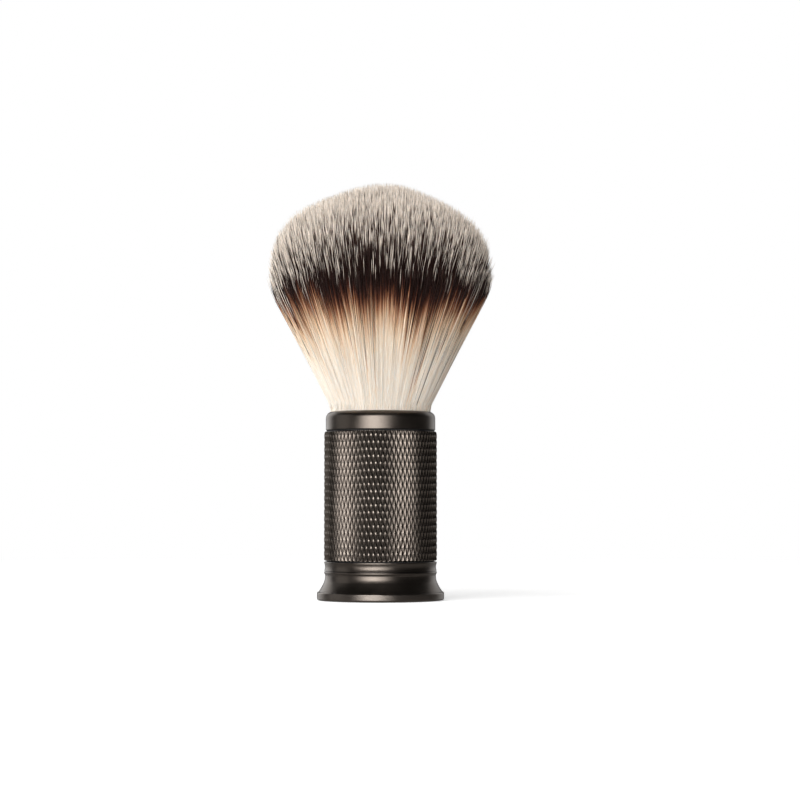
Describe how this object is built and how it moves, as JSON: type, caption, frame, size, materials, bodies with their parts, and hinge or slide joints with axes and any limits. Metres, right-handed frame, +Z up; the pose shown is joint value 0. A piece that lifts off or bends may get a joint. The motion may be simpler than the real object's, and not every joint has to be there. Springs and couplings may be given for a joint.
{
  "type": "shaving brush",
  "caption": "Shaving brush: a flared bulb of two-tone fibres in a turned collar that unscrews from a knurled cylindrical metal handle with a flared foot.",
  "frame": {"origin": "on the brush's axis, at the plane that the rubber pad stands on", "axes": "+Z up along the brush's axis, from the foot to the tips of the fibres; X and Y are across it"},
  "size_m": [0.0564, 0.0564, 0.105],
  "materials": {
    "fibres": "two-tone fibre",
    "binding_thread": "waxed thread",
    "potting_resin": "cured resin",
    "moulded_nylon": "moulded",
    "dark_anodised": "satin anodised",
    "knurled_anodised": "knurled, anodised",
    "core_steel": "turned",
    "plated_steel": "zinc plated",
    "rubber_seals": "matt",
    "rubber_pad": "matt, textured"
  },
  "bodies": {
    "handle": {"grip_sleeve": "knurled_anodised", "ballast_core": "core_steel", "upper_o_ring": "rubber_seals", "lower_o_ring": "rubber_seals", "sleeve_gasket": "rubber_seals", "foot_ring": "dark_anodised", "foot": "dark_anodised", "plain_washer": "plated_steel", "spring_washer": "plated_steel", "clamp_screw": "plated_steel", "base_pad": "rubber_pad"},
    "seal": {"head_seal": "rubber_seals"},
    "head": {"bristle_knot": "fibres", "knot_binding": "binding_thread", "resin_plug": "potting_resin", "knot_cup": "moulded_nylon", "collar": "dark_anodised"}
  },
  "joints": [
    {"name": "head_lift", "type": "slide", "parent": "handle", "child": "seal", "axis": [0, 0, 1], "range_m": [0, 0.006]},
    {"name": "head_turn", "type": "hinge", "parent": "seal", "child": "head", "pos_m": [0, 0, 0.0427], "axis": [0, 0, 1], "range_deg": [0, 1440]}
  ],
  "couplings": [
    {"joint": "head_lift", "follows": "head_turn", "m_per_rad": 0.0002387}
  ]
}
